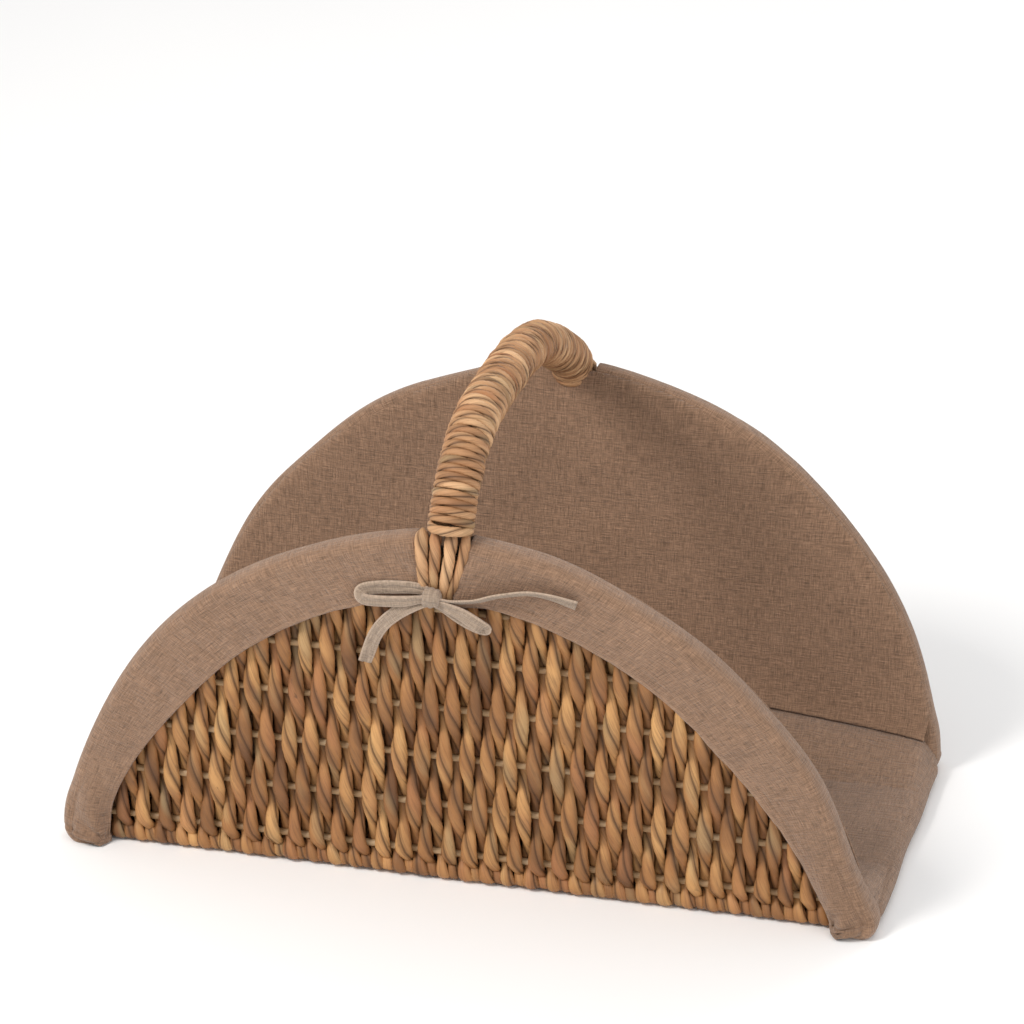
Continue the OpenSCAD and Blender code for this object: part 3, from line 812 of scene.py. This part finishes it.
# --------------------
# Cuffs: bands of the same linen, sewn to the linings along the rims and turned down over
# the outside, where they end in a folded hem. Each wall has two, parted by the slit at the
# handle's foot. At the floor each is gathered into a tuck and turned under the corner.
# --------------------
CUFF_WIDTH = 0.0465
CUFF_HALF = 0.0099
CORNER_ROUND = 0.0125
FLOOR_CLEAR = 0.0008
CUFF_COLUMNS = 210
CORNER_COLUMNS = 44
POUCH_BELLY = 0.0085  # how far the lower corner hangs out in front of the wall
POUCH_RIM = 0.0075
POUCH_WIDER = 0.0032
GATHER_DEPTH = 0.0024  # of the folds that fan out from the tuck at the floor
DRAG_DEPTH = 0.0011  # of the creases that run to the knot
KNOT_X = -0.0135
KNOT_S = 0.2450


def hem_inset(alpha):
    """Width of a cuff: full over the crown, a little wider at the slit, drawn in towards the floor."""
    narrowing = 0.0170 * eased(alpha, math.radians(50), math.radians(83))
    return CUFF_WIDTH - narrowing + 0.004 * np.exp(-((alpha / math.radians(7)) ** 2))


def outline_point(alpha, inset):
    """Point of the outline, moved in by inset, where its outward normal stands at alpha from upright."""
    on_crown = alpha < SHOULDER
    radius = np.where(on_crown, CROWN_RADIUS, FLANK_RADIUS) - inset
    x = np.where(on_crown, 0.0, flank_x) + radius * np.sin(alpha)
    s = np.where(on_crown, crown_s, flank_s) + radius * np.cos(alpha)
    return x, s


def cuff_profile():
    """Section of a cuff: its share of the way from rim to hem, its inset near the rim and its n."""
    gamma = np.linspace(-math.pi / 2, math.pi / 2, 25)
    power = 2 / 2.6
    rim_inset = RIM_ROUND * (1 - np.cos(gamma).clip(0) ** power)
    inner_half = CUFF_HALF - 0.0010
    rim_n = np.sign(gamma) * np.abs(np.sin(gamma)) ** power * np.where(gamma < 0, inner_half, CUFF_HALF)
    tail_inset = np.linspace(0.014, RIM_ROUND, 5)[:-1]
    tail_n = np.full_like(tail_inset, -inner_half)
    band = np.linspace(0, 1, 34)[1:]
    fold_inset = RIM_ROUND + np.array([0.0006, 0.0012, 0.0008, -0.0015, -0.006])
    fold_n = np.array([0.0095, 0.0088, 0.0080, 0.0076, 0.0076])
    share = np.concatenate([np.zeros_like(tail_inset), np.zeros_like(gamma), band, np.ones_like(fold_n)])
    inset = np.concatenate([tail_inset, rim_inset, np.full_like(band, RIM_ROUND), fold_inset])
    n = np.concatenate([tail_n, rim_n, np.full_like(band, CUFF_HALF), fold_n])
    return share[:, None], inset[:, None], n[:, None]


def cuff(name, node, side, back, seed):
    """One cuff in its wall's axes, made for the right side of the slit and mirrored for the left."""
    share, near, n = cuff_profile()
    slit_top, slit_foot = (0.0185, 0.0030) if side > 0 else (0.0205, 0.0080)
    floor_alpha = math.acos((CORNER_ROUND + 0.001 - flank_s) / FLANK_RADIUS)
    inset_guess = near + share * (CUFF_WIDTH + 0.004 - RIM_ROUND)
    slit_x = slit_top + (slit_foot - slit_top) * np.clip(inset_guess / 0.050, 0, 1)
    edge_alpha = np.arcsin(slit_x / (CROWN_RADIUS - inset_guess))
    along = np.linspace(0, 1, CUFF_COLUMNS)[None, :]
    alpha = edge_alpha + (floor_alpha - edge_alpha) * along
    rim_wave = ripples(alpha, 0.0, seed, 0.55, 0.0010 if not back else 0.0013)
    inset = near + share * (hem_inset(alpha) - RIM_ROUND) + rim_wave * (1 - share)
    x, s = outline_point(alpha, inset)

    corner_x, corner_s = outline_point(np.array(floor_alpha), CORNER_ROUND)
    turn = np.linspace(0, 1, CORNER_COLUMNS + 1)[None, 1:]
    corner_alpha = floor_alpha + (math.pi - floor_alpha) * np.clip(turn / 0.6, 0, 1)
    under = 0.006 * np.clip((turn - 0.6) / 0.4, 0, 1)
    rim_x = corner_x + (CORNER_ROUND - np.minimum(near, RIM_ROUND)) * np.sin(corner_alpha) - under
    rim_s = corner_s + (CORNER_ROUND - np.minimum(near, RIM_ROUND)) * np.cos(corner_alpha)
    hem_x, hem_s = x[-6:, -1:].mean(), s[-6:, -1:].mean()
    hem_x = hem_x - 0.001 * turn
    hem_s = hem_s * (1 - turn) + 0.0025 * turn
    fan = (inset[:, -1:] - RIM_ROUND).clip(0) / (inset[-6:, -1:].mean() - RIM_ROUND)
    fan = np.where(share > 0, fan, 0.0)
    x = np.concatenate([x, rim_x + (hem_x - rim_x) * fan], axis=1)
    s = np.concatenate([s, rim_s + (hem_s - rim_s) * fan], axis=1)
    alpha = np.concatenate([alpha, np.broadcast_to(corner_alpha, (len(share), CORNER_COLUMNS))], axis=1)
    share = np.broadcast_to(share, x.shape)
    outside = eased(n, -0.002, CUFF_HALF)

    tuck = np.hypot(x - hem_x[0, 0], s - 0.004)
    tuck_angle = np.arctan2(s - 0.004, x - hem_x[0, 0])
    fading = np.exp(-tuck / 0.024) * eased(tuck, 0.001, 0.007)
    gathers = GATHER_DEPTH * np.sin(tuck_angle * 8.5 + seed) * fading
    belly = np.sin(np.clip(share, 0, 1) * math.pi) ** 0.7
    pouch = POUCH_BELLY * eased(alpha, math.radians(66), math.radians(84)) * belly
    pouch = pouch + POUCH_RIM * eased(alpha, math.radians(70), math.radians(92)) * (1 - share)
    knot_x = side * (KNOT_X - WALL_SHIFT)
    pull = np.hypot(x - knot_x, s - KNOT_S)
    pull_angle = np.arctan2(s - KNOT_S, x - knot_x)
    fading = np.exp(-pull / 0.030) * eased(pull, 0.004, 0.016)
    drag = DRAG_DEPTH * np.sin(pull_angle * 10 + seed) * fading
    slack = np.abs(ripples(x, s, seed + 1, 0.070, 0.0009)) + ripples(x, s, seed + 2, 0.021, 0.00012)
    stitch = -0.00045 * np.exp(-(((1 - share) * 0.038 - 0.0075) / 0.0009) ** 2)
    from_slit = np.broadcast_to(np.arange(x.shape[1])[None, :] * 0.0019, x.shape)
    curl = -0.0016 * np.exp(-from_slit / 0.0022)
    n = n + outside * (gathers + pouch + drag + slack + curl + stitch * (share > 0))
    x = x + POUCH_WIDER * eased(0.055 - s, 0.0, 0.045) * eased(x, 0.275, 0.297)
    if back:
        x, s = fuller(x, s)
    points = on_wall(side * x + WALL_SHIFT * eased(s, 0.0, 0.04), s, n)
    points[..., 2] = np.maximum(points[..., 2], FLOOR_CLEAR)
    if back:
        points = turned_to_back(points)
    arc = np.concatenate([[0.0], np.cumsum(np.linalg.norm(np.diff(points[30], axis=0), axis=-1))])
    down = np.concatenate([[0.0], np.cumsum(np.linalg.norm(np.diff(points[:, 60], axis=0), axis=-1))])
    fade = 0.22 * (share >= 0.965) + 0.10 * np.exp(-((near / 0.004) ** 2)) * (share == 0)
    piece = cloth_piece(
        name, points[:, ::side], arc[None, ::side] + seed, down[:, None], linen, fade=fade[:, ::side])
    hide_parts(node)


cuff("front_left_cuff", "front_cuff_left", -1, False, 3)
cuff("front_right_cuff", "front_cuff_right", 1, False, 7)
cuff("back_right_cuff", "back_cuff_right", -1, True, 13)
cuff("back_left_cuff", "back_cuff_left", 1, True, 19)

# --------------------
# End cuffs: the liner's two open ends, turned down over the base's edge and under it, with
# the corners rounded between the walls.
# --------------------
END_X = 0.3005
END_ROUND = 0.020
END_TOP = 0.0154
END_START = 0.262


def end_cuff(name, node, side, seed):
    """Section swept along the base's end and a little way round both its corners."""
    half_y = BASE_DEPTH - 0.007
    arc = np.linspace(0, math.pi / 2, 12)
    corner_y = half_y - END_ROUND
    corner_x = END_X - END_ROUND
    side_x = np.linspace(END_START, corner_x, 9)[:-1]
    front_y = np.concatenate([np.full_like(side_x, -half_y), -corner_y - END_ROUND * np.cos(arc)])
    front_x = np.concatenate([side_x, corner_x + END_ROUND * np.sin(arc)])
    front_heading = np.concatenate([np.full_like(side_x, -math.pi / 2), arc - math.pi / 2])
    straight = np.linspace(-corner_y, corner_y, 60)[1:-1]
    x = np.concatenate([front_x, np.full_like(straight, END_X), front_x[::-1]])
    y = np.concatenate([front_y, straight, -front_y[::-1]])
    heading = np.concatenate([front_heading, np.zeros_like(straight), -front_heading[::-1]])
    angle = np.linspace(0, math.pi, 15)
    half_high = (END_TOP - FLOOR_CLEAR) / 2
    lip = np.linspace(-0.013, -0.008, 6)[:-1]
    under = np.linspace(-0.008, -0.028, 7)[1:]
    out = np.concatenate([lip, 0.008 * (np.sin(angle) ** 0.8 - 1), under])
    nose_z = FLOOR_CLEAR + half_high * (1 + np.cos(angle))
    z = np.concatenate([np.full_like(lip, END_TOP), nose_z, np.full_like(under, FLOOR_CLEAR)])
    out = out[:, None] + ripples(x * 3 + y, 0.0, seed, 0.09, 0.0007)[None, :] * (z[:, None] > 0.002)
    z = z[:, None] + np.zeros_like(y)[None, :]
    out_x = x + out * np.cos(heading)
    out_y = y + out * np.sin(heading)
    points = np.stack([side * out_x, side * out_y, z], axis=-1)
    run = np.concatenate([[0.0], np.cumsum(np.hypot(np.diff(x), np.diff(y)))])
    down = np.concatenate([[0.0], np.cumsum(np.linalg.norm(np.diff(points[:, 40], axis=0), axis=-1))])
    piece = cloth_piece(name, points, down[:, None], run[None, :] + seed, linen)
    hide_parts(node)


end_cuff("right_end_turn", "right_end_cuff", 1, 91)
end_cuff("left_end_turn", "left_end_cuff", -1, 92)

# --------------------
# Ties: a stitched linen tape runs in the cuffs' hems and is tied in a bow below the slit:
# a flattened knot, a long loop to the left, a tail hanging left, a tail lying along the cuff
# to the right and a small limp loop below it. The back has the same bow, half a turn round.
# --------------------
TAPE_WIDTH = 0.0100
TAPE_THICK = 0.0010
tape_finish = linen_finish("stitched_tape", (0.36, 0.27, 0.20), thread=0.0006)


def ribbon(name, node, stops, back, seed):
    """Tape along stops of x, s and n in millimetres, a roll in degrees and a width factor. At roll 0 its
    width lies in the wall, and at 90 it stands out from it. Its edges are stitched, thick and pale."""
    route = smooth_route(stops, 90)
    middle = route[:, :3] / 1000
    along = np.gradient(middle, axis=0)
    along /= np.linalg.norm(along, axis=1, keepdims=True)
    out = np.array([0.0, 0.0, 1.0])
    flat = np.cross(out, along)
    flat /= np.linalg.norm(flat, axis=1, keepdims=True)
    standing = np.cross(along, flat)
    roll = np.radians(route[:, 3])[:, None]
    across = flat * np.cos(roll) + standing * np.sin(roll)
    face = np.cross(along, across)
    u = np.linspace(-1, 1, 13)[None, :, None]
    cockle = drift(seed, 1, np.linspace(0, 9, 90)[None, :] + 3, 0.0004)[0]
    puff = 0.0006 * np.sin(u * math.pi) ** 2 + cockle[:, None, None] * u**2
    half_width = TAPE_WIDTH / 2 * route[:, 4][:, None, None]
    points = middle[:, None] + across[:, None] * u * half_width + face[:, None] * puff
    place = on_wall(points[..., 0], points[..., 1], points[..., 2])
    if back:
        place = turned_to_back(place)
    run = np.concatenate([[0.0], np.cumsum(np.linalg.norm(np.diff(middle, axis=0), axis=1))])
    stitches = 0.5 + 0.5 * np.sin(run * 2 * math.pi / 0.0021)[:, None]
    fade = np.where(np.abs(u[..., 0]) > 0.7, 0.5 + 0.5 * stitches, 0.12)
    side = u[..., 0] * TAPE_WIDTH / 2
    piece = cloth_piece(name, place, side, run[:, None] + seed, tape_finish, fade=fade, thick=TAPE_THICK)
    if node:
        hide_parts(node)


def knot(name, node, back):
    """Flattened barrel round the crossing tapes: rings about the x axis, narrowing to both ends, with the
    ridges of two turns of tape."""
    across = np.sin(np.linspace(-math.pi / 2, math.pi / 2, 27))[:, None]
    around = np.linspace(0, 2 * math.pi, 48, endpoint=False)[None, :]
    size = (1 - np.abs(across) ** 3.2).clip(0) ** 0.5
    size = size * (1 + 0.07 * np.cos(across * 9.0) + 0.05 * np.sin(around * 2 + across * 2))
    x = KNOT_X + across * 0.0066 + 0.0006 * np.sin(around)
    s = KNOT_S + 0.0072 * size * np.sin(around)
    n = 0.0150 + 0.0052 * size * np.cos(around)
    points = on_wall(x, s, n)
    if back:
        points = turned_to_back(points)
    fade = np.where(np.abs(across) > 0.8, 0.5, 0.15) + np.zeros_like(around)
    piece = cloth_piece(name, points, across * 0.007, around * 0.007, tape_finish, fade=fade, close=True)
    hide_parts(node)


for back, wall in ((False, "front"), (True, "back")):
    knot(wall + "_knot", wall + "_tie_knot", back)
    ribbon(
        wall + "_long_loop", wall + "_tie_loops",
        [
            (-15, 248.5, 13, 20, 0.65), (-26, 250, 12.5, 15, 0.85), (-42, 249, 12.5, 8, 1.0),
            (-56, 247, 13, 4, 1.0), (-63.5, 244.5, 15, 5, 1.0), (-62, 240.5, 18, 10, 1.0),
            (-50, 240, 18.5, 12, 1.0),
            (-34, 242, 18.5, 12, 0.95), (-20, 245, 18, 15, 0.7), (-15, 245.5, 16, 15, 0.6),
        ],
        back, 101,
    )
    ribbon(
        wall + "_hanging_tail", wall + "_tie_tails",
        [
            (-15, 241.5, 15, 20, 0.6), (-24, 239, 15.5, 18, 0.85), (-38, 230.5, 15.5, 14, 1.0),
            (-49, 219.5, 14.5, 8, 1.0), (-56.5, 207.5, 13, 2, 1.0), (-61, 196, 12.0, -8, 1.0),
            (-65, 185, 12.5, -20, 0.95),
        ],
        back, 103,
    )
    ribbon(
        wall + "_lying_tail", None,
        [
            (-11, 244, 15, 35, 0.6), (3, 244, 16, 46, 0.8), (19, 247.5, 16.5, 50, 0.95),
            (36, 253.5, 16.5, 50, 1.0), (56, 257.5, 16, 46, 1.0), (74, 256, 15.5, 36, 1.0),
            (90, 251, 14.5, 20, 0.95),
        ],
        back, 105,
    )
    ribbon(
        wall + "_small_loop", None,
        [
            (-11, 241.5, 15.5, 15, 0.6), (-2, 239.5, 17, 10, 0.9), (10, 235, 18, 5, 1.1),
            (20, 229, 18, 0, 1.1), (24, 225, 15.5, 0, 1.05), (19, 224.5, 13, 0, 1.1),
            (8, 228.5, 12.5, 0, 1.0), (-4, 236.5, 13, 10, 0.8), (-11, 240.5, 14, 15, 0.6),
        ],
        back, 107,
    )
